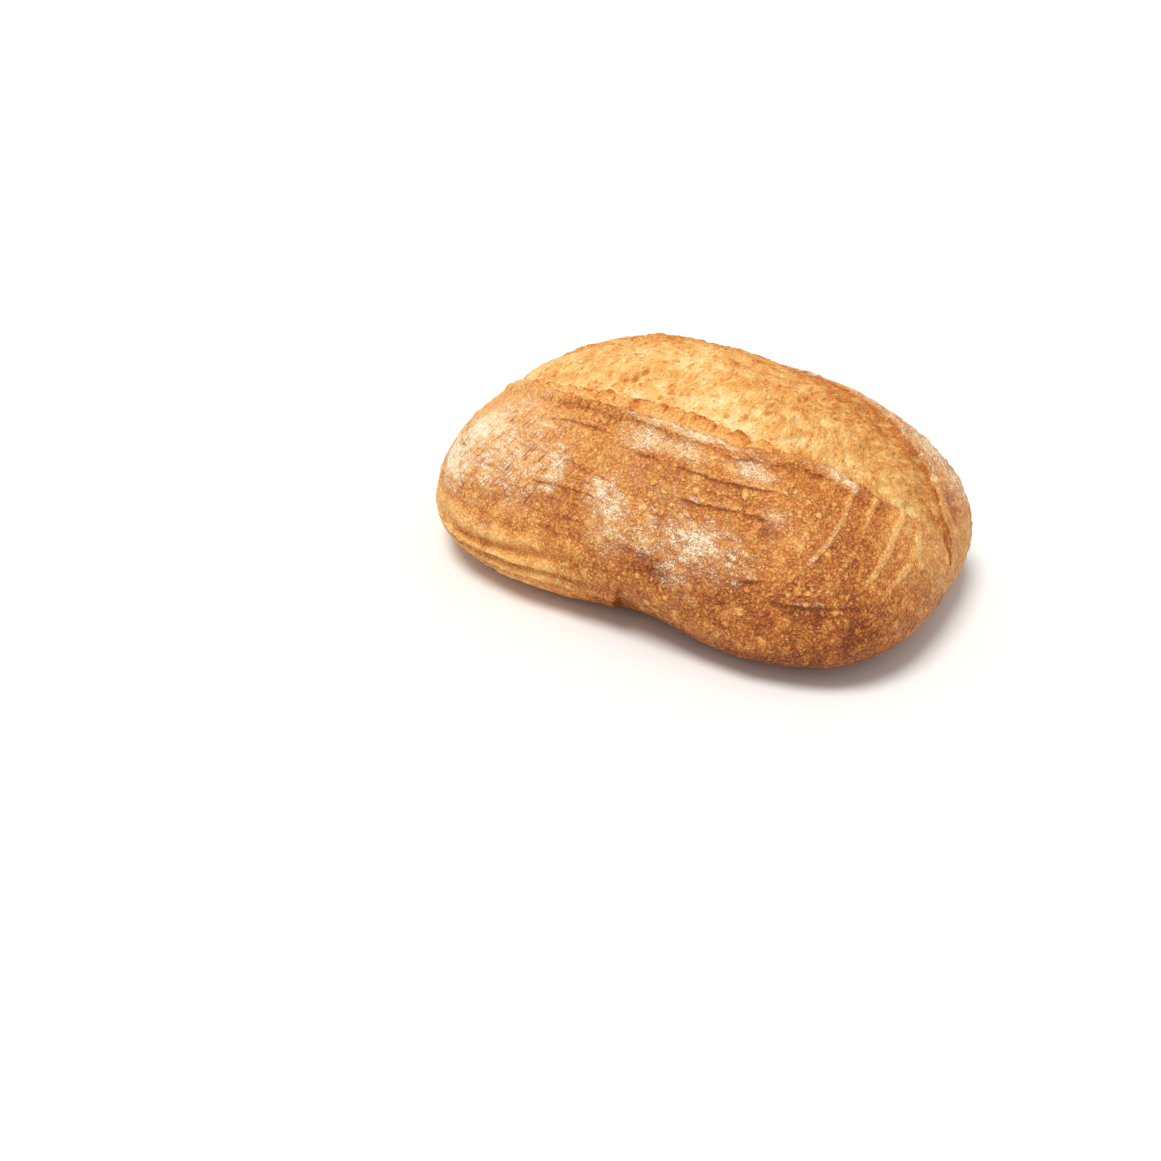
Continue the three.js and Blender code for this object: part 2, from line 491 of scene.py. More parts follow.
# short overlaps in the skin: along at start and end, around at start, middle and end, height
creases = [
    (-6, 66, 44, 43, 38, 0.55),
    (20, 70, 53.5, 51, 47.0, 0.6),
    (-38, -4, 51, 54, 56, 0.3),
    (-47, 2, 62, 61, 65, 0.6),
    (-43, -4, 70, 70.5, 72, 0.5),
    (-54, -10, 37, 38.5, 42, 0.45),
    (-102, -58, 52, 58, 60, 0.4),
    (-4, 34, 73, 73.5, 72, 0.35),
    (54, 86, 72, 68, 65, 0.45),
    (44, 108, 82, 75, 71, 0.5),
    (-70, 10, -50, -54, -58, 0.5),
    (0, 80, -62, -60, -64, 0.5),
    (-90, -30, -74, -78, -76, 0.45),
    (30, 100, -84, -80, -82, 0.4),
]
creaseWander = 0.9   # degrees that each line strays by
creaseReach = 4.0    # millimetres over which the skin rises to the line
creaseFull = 0.5     # a step of this height is drawn as a line of full strength


def creaseRelief(along, around):
    # Each line bends through its middle as a parabola. The skin rises towards it from above,
    # as an exponential of the distance, and drops sharply to the skin below.
    gap = np.full_like(along, 9.0)
    depth = np.zeros_like(along)
    relief = np.zeros_like(along)
    wander = np.stack([along, around, np.zeros_like(along)], axis=-1)
    shake = creaseWander * softNoise(wander, 11, 51, 3)
    broken = np.clip(0.7 + 0.9 * softNoise(wander, 8, 52, 2), 0.05, 1.2)
    for start, end, first, middle, last, height in creases:
        t = (along - start) / (end - start)
        line = first + (last - first) * t + (2 * middle - first - last) * 2 * t * (1 - t)
        off = (around - line + shake) * acrossPerDegree
        fade = ease(-0.06, 0.25, t) * ease(1.06, 0.75, t) * broken
        above = np.exp(np.minimum(off, 0) / creaseReach)
        relief += height * fade * above * ease(0.7, -0.7, off)
        closer = (np.abs(off) < np.abs(gap)) & (fade > 0)
        gap = np.where(closer, off, gap)
        depth = np.where(closer, fade * height / creaseFull, depth)
    return relief, gap, depth


skin = {
    "lumps": (26, 0.5),      # size and height of soft lumps, then of finer ones
    "ripples": (5, 0.22),
    # size of the cells that blisters lie in, their height, seed, and share of cells without one
    "blisters": [(4.4, 0.55, 63, 0.5), (7.0, 0.8, 64, 0.72), (3.1, 0.4, 65, 0.4)],
    "smallest": 0.2,         # a blister's radius against its cell, and how much that varies
    "varies": 0.26,
}


def crustRelief(points, around, along, side):
    # soft lumps and the basket's ridges, with blisters of several sizes scattered over them,
    # each the cap of a ball, fewer on the left shoulder, which is finely wrinkled instead
    size, height = skin["lumps"]
    relief = height * softNoise(points, size, 62, 3)
    size, height = skin["ripples"]
    relief += height * softNoise(points, size, 66, 2)
    ridge = ringRelief(points[:, 0], around, side)
    relief += ridge
    fewer = 0.12 * softNoise(points, 22, 67, 2)
    fewer = fewer + 0.5 * bell((along + 80) / 40) * bell((around - 40) / 34)
    blister = np.zeros_like(along)
    for size, height, seed, share in skin["blisters"]:
        gap, mark = scattered(points, size, seed)
        radius = skin["smallest"] + skin["varies"] * mark
        dome = np.sqrt(np.clip(1 - (gap / radius) ** 2, 0, 1))
        blister = np.maximum(blister, np.where(mark > share + fewer, dome * height, 0))
    relief += blister
    wrinkled = np.clip(1.5 * bell((along + 72) / 42) * bell((around - 52) / 24), 0, 1)
    wrinkled = np.maximum(wrinkled, 0.9 * bell((along + 38) / 24) * bell((around - 32) / 7))
    return relief, ridge, blister, wrinkled


fold = {
    "along": 12,
    "height": 4,
    "depth": 11,
    "halfLength": 31,
    "halfHeight": 20,
}

# the skin to the left laps over the skin to the right at one nick in the lower edge
nick = {
    "along": 3,
    "around": 103,
    "lean": 0.22,           # millimetres along for each degree round
    "step": 2.0,
    "leftReach": 12,
    "rightReach": 7,
    "rightDrop": 1.2,       # the right skin drops by this much of the step
}

# long soft pleats in the pale skin to the left of the nick
pleats = {
    "along": -50,
    "alongReach": 42,
    "around": 93,
    "aroundReach": 14,
    "height": 1.5,
    "every": 9.5,           # degrees from one to the next
    "lean": 0.07,           # degrees round for each millimetre along
}


def tuckedFold(points):
    # the near lower edge is drawn inwards where the shaped dough was tucked under
    reachX = (points[:, 0] - fold["along"]) / fold["halfLength"]
    reachZ = (points[:, 2] - fold["height"]) / fold["halfHeight"]
    rim = body["baseShare"] * body["halfWidth"]
    inside = np.clip(np.abs(points[:, 1]) / rim, 0, 1) ** 2
    return np.where(points[:, 1] < 0, fold["depth"] * bell(reachX) * bell(reachZ) * inside, 0)


def foldRelief(along, around):
    # a step at the nick that dies away on both sides as an exponential of the distance, and
    # beside it pleats that are a sine wave round the section, under a bell in both directions
    lane = np.stack([along, around, np.zeros_like(along)], axis=-1)
    off = along - nick["along"] + nick["lean"] * (around - nick["around"])
    off = off + 0.8 * softNoise(lane, 7, 71, 2)
    window = ease(84, 96, around) * ease(136, 118, around)
    right = -nick["rightDrop"] * np.exp(-off / nick["rightReach"])
    step = np.where(off < 0, np.exp(off / nick["leftReach"]), right)
    relief = nick["step"] * step * ease(0, 1.0, np.abs(off)) * window
    area = bell((along - pleats["along"]) / pleats["alongReach"])
    area = area * bell((around - pleats["around"]) / pleats["aroundReach"])
    line = around + pleats["lean"] * along + 2.6 * softNoise(lane, (40, 14, 1), 72, 2)
    wave = np.sin(line * 2 * math.pi / pleats["every"])
    relief += pleats["height"] * wave * area
    return relief, off, window, wave * area


# along, around, reach along, reach around, strength
flourPatches = [
    (-84, 48, 20, 13, 1.0), (-92, 62, 18, 13, 0.95), (-66, 54, 36, 20, 0.66), (-72, 34, 24, 9, 0.5),
    (-36, 56, 8, 10, 0.7), (-10, 59, 10, 7, 0.75), (-4, 63, 10, 7, 0.7), (-1, 70, 12, 8, 0.55),
    (-2, 38, 13, 5.5, 0.75), (16, 38, 16, 4, 0.55), (45, 35, 12, 5, 0.7),
    (38, 64, 22, 9, 0.75), (18, 69, 14, 7, 0.55), (31, 75, 12, 6, 0.5), (38, 81, 9, 6, 0.3),
    (62, 47, 8, 6, 0.5), (10, 56, 56, 20, 0.28), (70, 55, 34, 22, 0.2),
    (92, -40, 28, 16, 0.75), (112, -50, 18, 16, 0.7), (60, -36, 26, 9, 0.8),
    (10, -45, 60, 12, 0.5), (-60, -50, 40, 16, 0.5), (-110, -20, 20, 20, 0.35),
]
brownPatches = [
    (106, 86, 18, 12, 0.15), (138, -38, 10, 9, 0.34), (90, 76, 12, 6, 0.14), (60, 50, 8, 4, 0.16),
    (22, 77, 9, 4, 0.18), (96, 48, 9, 12, 0.10), (-34, 31, 26, 2.6, 0.08), (60, 108, 60, 8, 0.12),
    (10, 44, 16, 3, 0.10), (-46, 66, 14, 3, 0.12), (46, 45, 20, 4, 0.10),
]


def patchwork(patches, along, around, shake):
    # the strongest of some soft oval patches, each a bell of the distance from its middle
    mask = np.zeros_like(along)
    for a, s, reachA, reachS, strength in patches:
        gap = ((along - a) / reachA) ** 2 + ((around - s) / reachS) ** 2
        mask = np.maximum(mask, strength * np.exp(-gap * (1 + 0.6 * shake)))
    return mask


# how baked the crust is, from 0 pale to 1 dark, with painted light on the right end: a middle
# value, and what each place adds
baking = {
    "middle": 0.46,
    "perMillimetre": 0.0007,   # along the loaf
    "leftEnd": -0.05,
    # paler at the right end: its own paler skin, with painted light where it faces away from the sun
    "rightEndPaleAndLit": -0.16,
    "nearSide": 0.12,
    "lowEdge": 0.10,
    "paleBand": -0.19,
    "pleats": -0.19,
    "blisters": -0.22,
    "clouds": 0.07,
    "specks": 0.05,
}


def howBaked(plain, along, around, shake, speck, paleBand, pleat, blister):
    # the sum of a middle value and the share of each place
    lowEdge = ease(88, 118, around) + ease(-88, -118, around)
    bakeAndPaintedLight = baking["middle"] + baking["perMillimetre"] * along
    bakeAndPaintedLight = bakeAndPaintedLight + baking["leftEnd"] * ease(-10, -80, along)
    # paler right end, partly painted light
    bakeAndPaintedLight = bakeAndPaintedLight + baking["rightEndPaleAndLit"] * ease(90, 155, along)
    bakeAndPaintedLight = bakeAndPaintedLight + baking["nearSide"] * ease(30, 80, around)
    bakeAndPaintedLight = bakeAndPaintedLight + baking["lowEdge"] * lowEdge * (1 - 0.4 * paleBand)
    bakeAndPaintedLight = bakeAndPaintedLight + baking["paleBand"] * paleBand
    bakeAndPaintedLight = bakeAndPaintedLight + baking["clouds"] * softNoise(plain, 20, 97, 3) + baking["specks"] * speck
    bakeAndPaintedLight = bakeAndPaintedLight + baking["pleats"] * pleat + baking["blisters"] * np.clip(blister, 0, 0.6)
    return bakeAndPaintedLight + patchwork(brownPatches, along, around, shake)


# how much flour lies along the lips and above each overlap
dusting = {
    "strip": 0.8,
    "rightLip": 0.6,
    "farLip": 0.5,
    "overlaps": 0.35,
}


def howFloury(along, around, side, out, beyond, strength, overlap, shake, speck):
    # the strongest of the patches, the ridge outside the strip, both lips and the overlaps
    flour = patchwork(flourPatches, along, around, shake)
    dusty = dusting["strip"] * bell((along - 14) / 32) * bell((beyond - 1.0) / 1.6)
    rightLip = bell((along - 80) / 18) * ease(-0.5, 1.5, out) * ease(9, 4, out)
    dusty = np.maximum(dusty, dusting["rightLip"] * rightLip)
    dusty = np.maximum(dusty, np.where(side < 0, 0, dusting["farLip"] * bell((out - 4) / 4)))
    flour = np.maximum(flour, dusty * strength)
    flour = np.maximum(flour, dusting["overlaps"] * overlap)
    return np.clip(flour * (0.95 + 0.25 * speck), 0, 1)


# how toasted the crumb is, from 0 pale to 1 brown, in the same way
toasting = {
    "middle": 0.43,
    "farSide": 0.26,
    "perMillimetre": 0.0010,   # along the right half
    "clouds": 0.12,
    "strands": 0.08,
    "nearLip": -0.16,
    "farLip": 0.10,
}


def howToasted(plain, along, side, half, out, strength, strands):
    # the sum of a middle value and the share of each place
    far = side > 0
    toast = toasting["middle"] + toasting["farSide"] * ease(-0.2, 1, side / np.maximum(half, 1))
    toast = toast + toasting["perMillimetre"] * np.maximum(along, 0)
    toast = toast + toasting["clouds"] * softNoise(plain, 22, 98, 3) + toasting["strands"] * strands
    nearLip = bell((out + 6) / 6) * np.where(side < 0, 1, 0) * ease(-60, 20, along)
    farLip = bell((out + 1.5) / 3.0) * np.where(far, 1, 0) * strength
    return toast + toasting["nearLip"] * nearLip + toasting["farLip"] * farLip


def howBlistered(plain, along, around, paleBand):
    # most on the middle of the near side and low down, least on the pale band and right end
    blistered = ease(-52, -10, along) * ease(30, 38, around) + bell((around - 92) / 14)
    blistered = np.clip(blistered * (0.75 + 0.5 * softNoise(plain, 16, 99, 2)), 0, 1)
    blistered = np.maximum(blistered, 0.6 * ease(-35, -50, around))
    blistered = 0.3 + 0.7 * blistered
    return blistered * (1 - 0.65 * paleBand) * (1 - 0.35 * ease(92, 125, along))


def nearestLine(plain, side, out, lines):
    # The dark lines of the crust, each darker skin with painted shade in its crease: at each point
    # the nearest one's distance and strength. The far border of the crumb joins them, torn into a
    # row of nicks towards the right end.
    (gap, depth), (nickGap, nickDepth), (lipGap, lipDepth) = lines
    useNick = (np.abs(nickGap) < np.abs(gap)) & (nickDepth > 0.3)
    gap = np.where(useNick, nickGap, gap)
    depth = np.where(useNick, nickDepth, depth)
    useLip = np.abs(lipGap) < np.abs(gap)
    gap = np.where(useLip, lipGap, gap)
    depth = np.where(useLip, lipDepth, depth)
    torn = np.clip(2.6 * softNoise(plain, 5, 93, 1), 0, 1) * ease(78, 104, plain[:, 0])
    useTorn = (side > 0) & (np.abs(out) < np.abs(gap)) & (torn > 0)
    return np.where(useTorn, out, gap), np.where(useTorn, torn, depth)


bodyLumps = (62, 1.1)  # size and height of the loaf's own unevenness


def makeLoaf():
    # the plain body, moved out along its own normals by each layer of relief in turn
    place, quads, triangles, corners = makeGrid()
    plain, around, along = plainBody(place)
    across = around * acrossPerDegree
    out, side, half, strength, lane = openSlash(plain, along)
    stripIn, stripHeight, beyond, tip = tornStrip(out, side, along, lane)
    slashHeight, lipGap, lipCrease = slashRelief(out, beyond, side, strength, along, lane)
    points = plain + pointNormals(plain, quads, triangles) * slashHeight[:, None]
    points[:, 1] += tuckedFold(plain)

    standing = ease(0, 14, plain[:, 2])  # nothing stands out of the flat base
    size, height = bodyLumps
    lumps = height * softNoise(plain, size, 81, 2) * standing
    points = points + pointNormals(points, quads, triangles) * lumps[:, None]

    onCrumb = ease(0.5, -0.5, out)
    onStrip = ease(-0.4, 0.6, stripIn)
    inwards, inwardsReach, middle, reach = crumb["lipBand"]
    lipBand = bell((out + inwards) / inwardsReach) * bell((along - middle) / reach)
    lipBand = lipBand * np.where(side < 0, 1, 0)
    crumbHeight, shadedPit, bowl, strands = crumbRelief(along, across, lipBand)
    crustHeight, ridge, blister, wrinkled = crustRelief(plain, around, along, side)
    overlapHeight, gap, overlapDepth = creaseRelief(along, around)
    foldHeight, nickGap, nickDepth, pleat = foldRelief(along, around)
    crustHeight = (crustHeight + overlapHeight + foldHeight) * (1 - 0.8 * onStrip)
    flakes = strip["flakes"] * softNoise(plain, (2.8, 2.2, 2.8), 91, 2) * onStrip
    detail = crustHeight * (1 - onCrumb) + crumbHeight * onCrumb * (1 - onStrip)
    detail = detail + (stripHeight + flakes) * strength
    points = points + pointNormals(points, quads, triangles) * (detail * standing)[:, None]
    points[:, 2] = np.maximum(points[:, 2], 0)
    points[:, 2] = np.where(plain[:, 2] < 1e-6, 0, points[:, 2])
    print("loaf shaped,", len(points), "points")

    # what the colours follow: distances in millimetres, and strengths from 0 to 1
    shake = softNoise(plain, 9, 95, 3)
    speck = softNoise(plain, 3.0, 96, 2)
    paleBand = ease(72, 84, around + 4 * shake) * ease(2.0, -34.0, nickGap) * (0.8 + 0.4 * shake)
    overlap = overlapDepth * bell((gap + 2.2) / 1.6)
    # where the dark lines go: darker skin with painted shade in each crease
    lines = ((gap, overlapDepth), (nickGap, nickDepth), (lipGap, lipCrease))
    lineGap, lineDepth = nearestLine(plain, side, out, lines)
    traits = {
        "out": np.clip(out, -9, 9),
        "stripIn": np.clip(stripIn, -9, 9),
        "tip": tip,
        "bakeAndPaintedLight": howBaked(plain, along, around, shake, speck, paleBand, pleat, blister),
        "flour": howFloury(along, around, side, out, beyond, strength, overlap, shake, speck),
        "toast": howToasted(plain, along, side, half, out, strength, strands),
        # where painted shade goes in the crumb's pits
        "shadedPit": shadedPit,
        "bowl": bowl,
        "wrinkled": wrinkled * (1 - paleBand),
        "blistered": howBlistered(plain, along, around, paleBand),
        "lineGap": np.clip(lineGap, -9, 9),
        "lineDepth": lineDepth,
        "ridge": ridge,
        "skin": np.stack([along, across, np.zeros_like(along)], axis=-1),
    }
    return points, quads, triangles, corners, traits


def buildMesh(name, points, quads, triangles, corners, traits):
    # the points put in the frame's metres over the middle of the CAD loaf, with their colour
    # sheet, where the base lies as it is seen from above, and each trait as an attribute
    shift = [loafMiddle[k] - (points[:, k].min() + points[:, k].max()) / 2 * mm for k in range(2)]
    points = points * mm + np.array([shift[0], shift[1], 0.0])
    mesh = bpy.data.meshes.new(name)
    mesh.from_pydata(points, [], quads.tolist() + triangles.tolist())
    left, bottom, width, height = sheets["base"]
    flat = points[triangles.ravel()][:, :2] / mm
    spread = np.array([body["halfLength"], body["halfWidth"]]) * 2 * baseSpread
    flat = (flat / spread + 0.5) * np.array([width, height]) + np.array([left, bottom])
    sheet = mesh.uv_layers.new(name="OFBake")
    places = np.concatenate([corners.reshape(-1, 2), flat / sheetSize])
    sheet.uv.foreach_set("vector", places.astype(np.float32).ravel())
    for key, values in traits.items():
        if values.ndim == 2:
            layer = mesh.attributes.new(key, "FLOAT_VECTOR", "POINT")
            layer.data.foreach_set("vector", values.astype(np.float32).ravel())
        else:
            layer = mesh.attributes.new(key, "FLOAT", "POINT")
            layer.data.foreach_set("value", values.astype(np.float32))
    mesh.shade_smooth()
    mesh.validate()
    piece = bpy.data.objects.new(name, mesh)
    bpy.context.scene.collection.objects.link(piece)
    return piece


# colours as seen on a screen, each ramp from the least baked to the most
finish = {
    "crust": [(0.0, (253, 221, 158)), (0.22, (247, 196, 122)), (0.42, (234, 167, 90)),
              (0.6, (208, 131, 60)), (0.78, (174, 94, 38)), (1.0, (116, 56, 20))],
    "crumb": [(0.0, (254, 240, 196)), (0.28, (252, 217, 149)), (0.5, (242, 185, 108)),
              (0.75, (226, 151, 75)), (1.0, (190, 107, 46))],
    "strip": [(0.0, (250, 206, 134)), (0.4, (232, 156, 80)), (0.7, (200, 116, 48)),
              (1.0, (146, 68, 22))],
    "flour": (253, 237, 202),
    # line: the dark crease lines, darker skin with painted shade in the crease
    "line": (156, 78, 30),
    # pit: painted shade in the crumb's pits and pores, a warm darker orange
    "shadedPit": (196, 108, 40),
    "bowl": (245, 208, 138),
    "crustRoughness": 0.5,
    "crumbRoughness": 0.95,
    "flourRoughness": 0.35,   # what flour adds
    "shine": 0.25,
}


def linear(color):
    # from 0 to 255 as seen on a screen to the shader's own scale
    c = np.array(color) / 255
    c = np.where(c <= 0.04045, c / 12.92, ((c + 0.055) / 1.055) ** 2.4)
    return (*c.tolist(), 1.0)


class Nodes:
    # short ways to add shader nodes, each giving the socket that holds its result
    def __init__(self, material):
        self.tree = material.node_tree
        self.tree.nodes.clear()

    def feed(self, node, key, value):
        # a link from another node's socket, or else a plain value
        if isinstance(value, bpy.types.NodeSocket):
            self.tree.links.new(value, node.inputs[key])
        else:
            node.inputs[key].default_value = value

    def maths(self, operation, *values, clamp=False):
        node = self.tree.nodes.new("ShaderNodeMath")
        node.operation = operation
        node.use_clamp = clamp
        for key, value in enumerate(values):
            self.feed(node, key, value)
        return node.outputs[0]

    def add(self, a, b, clamp=False):
        return self.maths("ADD", a, b, clamp=clamp)

    def times(self, a, b, clamp=False):
        return self.maths("MULTIPLY", a, b, clamp=clamp)

    def about(self, value, strength, middle=0.5):
        # strength times how far the value is above its middle
        return self.times(self.maths("SUBTRACT", value, middle), strength)

    def without(self, value):
        return self.maths("SUBTRACT", 1.0, value)

    def mask(self, name):
        node = self.tree.nodes.new("ShaderNodeAttribute")
        node.attribute_name = name
        return node.outputs["Fac"]

    def noise(self, vector, scale, detail=2.0, roughness=0.5, distortion=0.0):
        node = self.tree.nodes.new("ShaderNodeTexNoise")
        for key, value in (("Vector", vector), ("Scale", scale), ("Detail", detail),
                           ("Roughness", roughness), ("Distortion", distortion)):
            self.feed(node, key, value)
        return node.outputs["Fac"]

    def cells(self, vector, scale):
        # distance to the nearest of some scattered points
        node = self.tree.nodes.new("ShaderNodeTexVoronoi")
        self.feed(node, "Vector", vector)
        self.feed(node, "Scale", scale)
        return node.outputs["Distance"]

    def blisters(self, vector, size, share):
        # Caps scattered one to a cell of that size, in a steady random share of the cells. Each
        # has its own radius, and is 1 in its middle, less a power of the distance, 0 at its rim.
        gap = self.cells(vector, 1 / size)
        parts = self.tree.nodes.new("ShaderNodeSeparateColor")
        self.tree.links.new(gap.node.outputs["Color"], parts.inputs[0])
        radius = self.maths("MULTIPLY_ADD", parts.outputs[1], 0.28, 0.22)
        fall = self.maths("POWER", self.maths("DIVIDE", gap, radius), 2.2)
        cap = self.maths("SUBTRACT", 1.0, fall, clamp=True)
        return self.times(cap, self.maths("LESS_THAN", parts.outputs[0], share))

    def shaken(self, vector, scale, reach):
        # a place moved about by noise, by up to about half of reach
        shake = self.noise(vector, scale)
        moved = self.tree.nodes.new("ShaderNodeVectorMath")
        moved.operation = "MULTIPLY_ADD"
        self.tree.links.new(shake.node.outputs["Color"], moved.inputs[0])
        moved.inputs[1].default_value = (reach, reach, reach)
        self.tree.links.new(vector, moved.inputs[2])
        return moved.outputs[0]

    def onSkin(self, along, across, turn):
        # the place on the skin, in cells of that size in millimetres, turned by an angle
        node = self.tree.nodes.new("ShaderNodeAttribute")
        node.attribute_name = "skin"
        turned = self.tree.nodes.new("ShaderNodeMapping")
        turned.vector_type = "TEXTURE"
        turned.inputs["Rotation"].default_value = (0.0, 0.0, turn)
        turned.inputs["Scale"].default_value = (along, across, 1.0)
        self.tree.links.new(node.outputs["Vector"], turned.inputs["Vector"])
        return turned.outputs["Vector"]

    def between(self, value, low, high):
        # 0 at low and 1 at high, with a smooth S between
        node = self.tree.nodes.new("ShaderNodeMapRange")
        node.interpolation_type = "SMOOTHSTEP"
        self.feed(node, "Value", value)
        self.feed(node, "From Min", low)
        self.feed(node, "From Max", high)
        return node.outputs["Result"]

    def ramp(self, value, stops):
        node = self.tree.nodes.new("ShaderNodeValToRGB")
        self.feed(node, 0, value)
        points = node.color_ramp.elements
        while len(points) < len(stops):
            points.new(0.5)
        for point, (place, color) in zip(points, stops):
            point.position = place
            point.color = linear(color)
        return node.outputs["Color"]

    def mix(self, factor, a, b):
        node = self.tree.nodes.new("ShaderNodeMix")
        node.data_type = "RGBA"
        self.tree.links.new(factor, node.inputs[0])
        for key, value in ((6, a), (7, b)):
            self.feed(node, key, value if isinstance(value, bpy.types.NodeSocket) else linear(value))
        return node.outputs[2]


# Patterns over the crust. A shade is what one adds to how baked the skin is, and a height is
# in millimetres.
crustPatterns = {
    # small blisters: size of their cells in metres, share of the cells with one, strength
    "caps": [(0.0050, 0.34, 1.0), (0.0031, 0.5, 1.0), (0.0019, 0.6, 0.8)],
    "capShade": -0.34,
    "capHeight": 1.0,
    "bumpsPerMetre": 680.0,
    "bumpShade": -0.22,
    "bumpHeight": 0.45,
    "mottleShade": 0.4,
    "grainFine": 0.75,
    "grainDots": 0.45,
    "grainHeight": 0.8,
    "ridgeShade": -0.2,
    # darker skin for a little way on both sides of each line: painted shade
    "shadeBesideLines": 0.16,
    "lineStrength": 0.7,
    "lineHeight": -0.5,
    "crackSize": (13.0, 1.0),   # millimetres before they are turned
    "crackTurn": -1.22,
    "crackShade": 0.26,
    "crackHeight": -0.45,
    "flourStreaks": (6.0, 3.4),
    "flourTurn": 0.3,
    "flourSpecks": 0.66,
    "flourHaze": 0.22,
}


def crustNodes(n, place, grains):
    # small pale blisters with browner skin between them, dark lines and cracks, and flour. Each
    # dark line is darker skin with painted shade in its crease, and beside it is painted shade.
    look = crustPatterns
    gap = n.maths("ABSOLUTE", n.add(n.mask("lineGap"), n.about(grains["fine"], 1.6)))
    # the dark line: darker skin with painted shade in the crease
    line = n.times(n.between(gap, 0.62, 0.12), n.mask("lineDepth"), True)
    # painted shade: the skin is made darker for a little way on both sides of each line
    beside = n.times(n.between(gap, 2.6, 0.0), n.mask("lineDepth"), True)
    uneven = n.shaken(place, 500.0, 0.0016)
    bumps = n.between(n.cells(uneven, look["bumpsPerMetre"]), 0.78, 0.1)
    caps = 0.0
    for size, share, strength in look["caps"]:
        caps = n.maths("MAXIMUM", caps, n.times(n.blisters(uneven, size, share), strength))
    caps = n.times(caps, n.mask("blistered"))
    skewed = n.onSkin(*look["crackSize"], look["crackTurn"])
    cracks = n.times(n.blisters(n.shaken(skewed, 0.9, 1.6), 1.0, 0.7), n.mask("wrinkled"), True)
    ridge = n.between(n.add(n.mask("ridge"), n.about(grains["fine"], 0.5)), 0.12, 0.5)
    grain = n.about(grains["fine"], look["grainFine"])
    grain = n.add(grain, n.about(grains["dots"], look["grainDots"]))
    smoother = n.between(n.mask("blistered"), 0.1, 0.6)
    grain = n.times(grain, n.maths("MULTIPLY_ADD", smoother, 0.4, 0.6))

    bakeAndPaintedLight = n.add(n.mask("bakeAndPaintedLight"), n.about(grains["mottle"], look["mottleShade"]))
    bakeAndPaintedLight = n.add(bakeAndPaintedLight, n.about(caps, look["capShade"], 0.25))
    bakeAndPaintedLight = n.add(bakeAndPaintedLight, n.about(bumps, look["bumpShade"]))
    bakeAndPaintedLight = n.add(bakeAndPaintedLight, n.times(grain, n.without(n.times(caps, 0.6))))
    bakeAndPaintedLight = n.add(bakeAndPaintedLight, n.times(ridge, look["ridgeShade"]))
    # painted shade beside each line
    bakeAndPaintedLight = n.add(bakeAndPaintedLight, n.times(beside, look["shadeBesideLines"]))
    bakeAndPaintedLight = n.add(bakeAndPaintedLight, n.times(cracks, look["crackShade"]), True)
    color = n.ramp(bakeAndPaintedLight, finish["crust"])

    # flour lies in specks, closer together where there is more of it, over a thin haze
    streaks = n.noise(n.onSkin(*look["flourStreaks"], look["flourTurn"]), 1.0, 3.0, 0.65)
    amount = n.add(n.mask("flour"), n.times(ridge, 0.12))
    amount = n.add(amount, n.about(streaks, 1.6), True)
    amount = n.times(amount, n.between(n.add(n.mask("flour"), ridge), 0.02, 0.4))
    needed = n.maths("MULTIPLY_ADD", amount, -0.28, 0.68)
    specks = n.add(n.times(grains["fine"], 0.45), n.times(grains["dots"], 0.55))
    specks = n.between(n.maths("SUBTRACT", specks, needed), -0.008, 0.022)
    specks = n.times(specks, n.without(n.maths("MAXIMUM", line, cracks)), True)
    cover = n.add(n.times(specks, look["flourSpecks"]), n.times(amount, look["flourHaze"]), True)
    color = n.mix(cover, color, finish["flour"])
    # the dark line, painted shade in the crease over the crease's darker skin
    color = n.mix(n.times(line, look["lineStrength"]), color, finish["line"])

    height = n.add(n.about(caps, look["capHeight"], 0.3), n.times(grain, look["grainHeight"]))
    height = n.add(height, n.about(bumps, look["bumpHeight"]))
    height = n.add(height, n.times(line, look["lineHeight"]))
    height = n.add(height, n.times(cracks, look["crackHeight"]))
    return color, height, specks


# patterns over the crumb: millimetres along and across, then shade and height as above
crumbPatterns = {
    "turn": 0.3,
    "wideTurn": 0.2,
    "wide": ((1.7, 3.3), 0.9, 0.8),
    "threads": ((0.95, 3.2), -0.36, 0.28),
    "tufts": ((5.0, 5.5), 0.4, 1.6),
    # pores: toasted darker as painted shade in them
    "pores": ((2.3, 3.0), 0.2, -0.18),
    "mottleShade": 0.9,
    "fineShade": 0.5,
    "fineHeight": 0.8,
    # how strongly the pits and pores are painted with shade
    "pitShadeStrength": 0.8,
    "poreShadeStrength": 0.5,
    "bowlStrength": 0.45,
}


